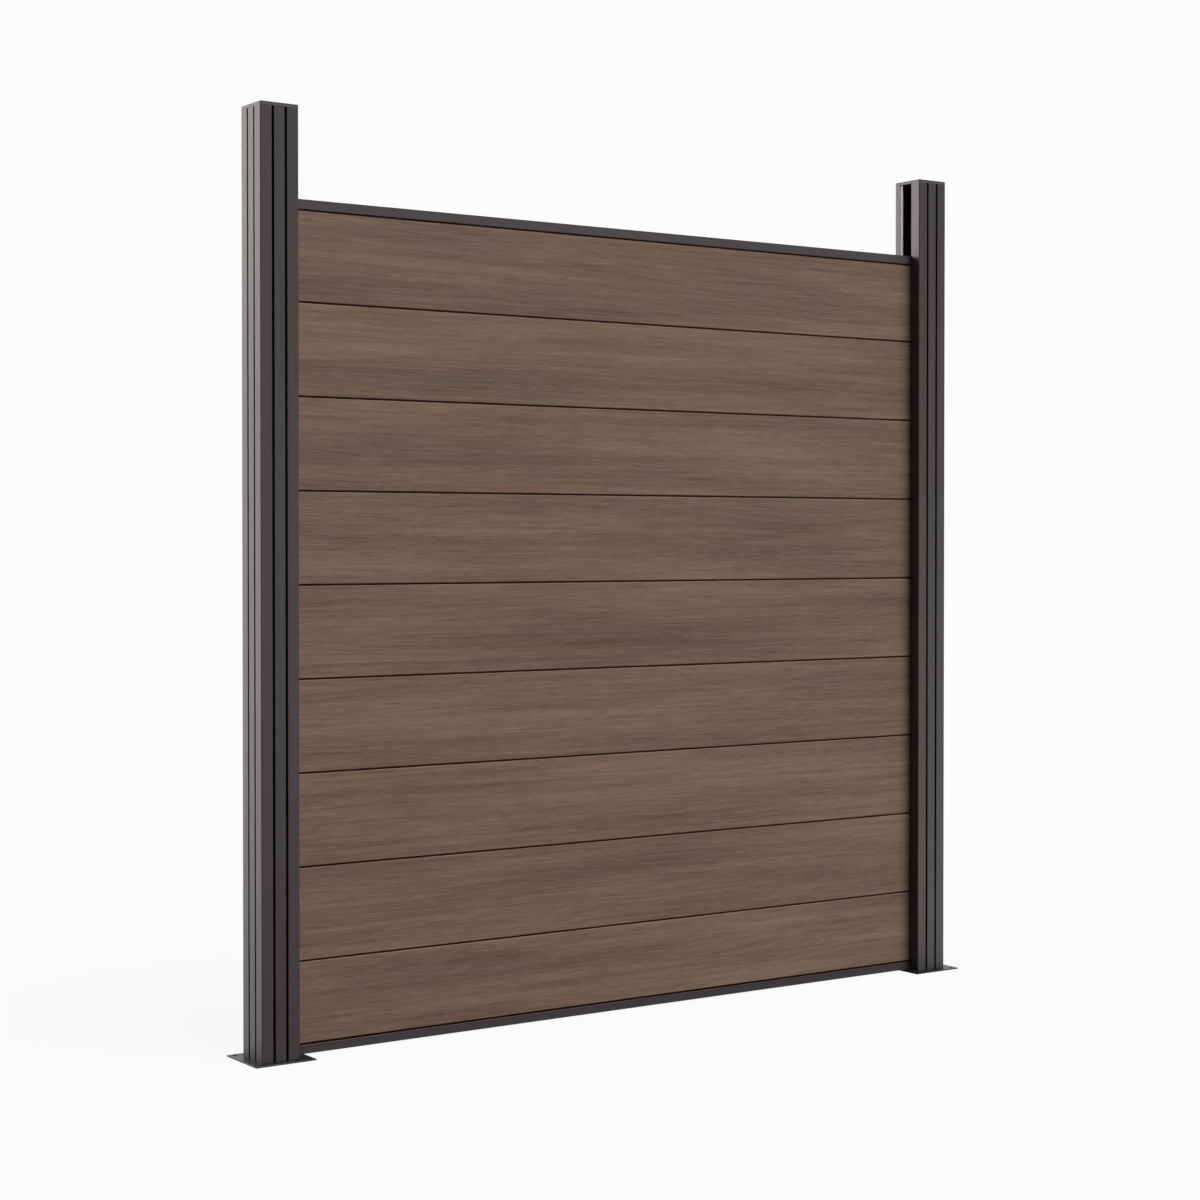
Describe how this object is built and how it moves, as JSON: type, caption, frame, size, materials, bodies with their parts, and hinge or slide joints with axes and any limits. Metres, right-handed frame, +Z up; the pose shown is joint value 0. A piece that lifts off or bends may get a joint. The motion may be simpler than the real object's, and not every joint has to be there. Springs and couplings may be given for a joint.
{
  "type": "composite fence panel",
  "caption": "Privacy fence panel of wood-look hollow composite boards stacked between two slotted aluminium posts on bolt-down base plates, with top and bottom rails.",
  "frame": {"origin": "on the ground, midway between the two posts and midway through the base plates' depth", "axes": "+Z up, +X along the panel towards its right end seen from the front, the front faces -Y"},
  "size_m": [1.981, 0.14, 2.0105],
  "materials": {
    "post_finish": "extruded aluminium with a satin dark bronze-grey coating",
    "strip_finish": "extruded aluminium with the same coating as the posts",
    "cap_finish": "die-cast aluminium with the same coating as the posts",
    "rail_finish": "extruded aluminium with the same coating as the posts",
    "plate_finish": "coated steel plate",
    "screw_steel": "plain stainless steel",
    "gasket_rubber": "light grey soft extruded strip",
    "board_composite": "matt co-extruded wood-plastic composite with a fine embossed grain along the board"
  },
  "bodies": {
    "root": {"left_post": "post_finish", "left_post_cap": "cap_finish", "left_base_plate": "plate_finish", "left_base_screws": "screw_steel", "left_front_cover_strip": "strip_finish", "left_rear_cover_strip": "strip_finish", "left_outer_cover_strip": "strip_finish", "left_slot_gasket": "gasket_rubber", "right_post": "post_finish", "right_post_cap": "cap_finish", "right_base_plate": "plate_finish", "right_base_screws": "screw_steel", "right_front_cover_strip": "strip_finish", "right_rear_cover_strip": "strip_finish", "right_outer_cover_strip": "strip_finish", "right_slot_gasket": "gasket_rubber", "board_1": "board_composite", "board_2": "board_composite", "board_3": "board_composite", "board_4": "board_composite", "board_5": "board_composite", "board_6": "board_composite", "board_7": "board_composite", "board_8": "board_composite", "board_9": "board_composite", "bottom_rail": "rail_finish", "top_rail": "rail_finish"}
  },
  "joints": []
}
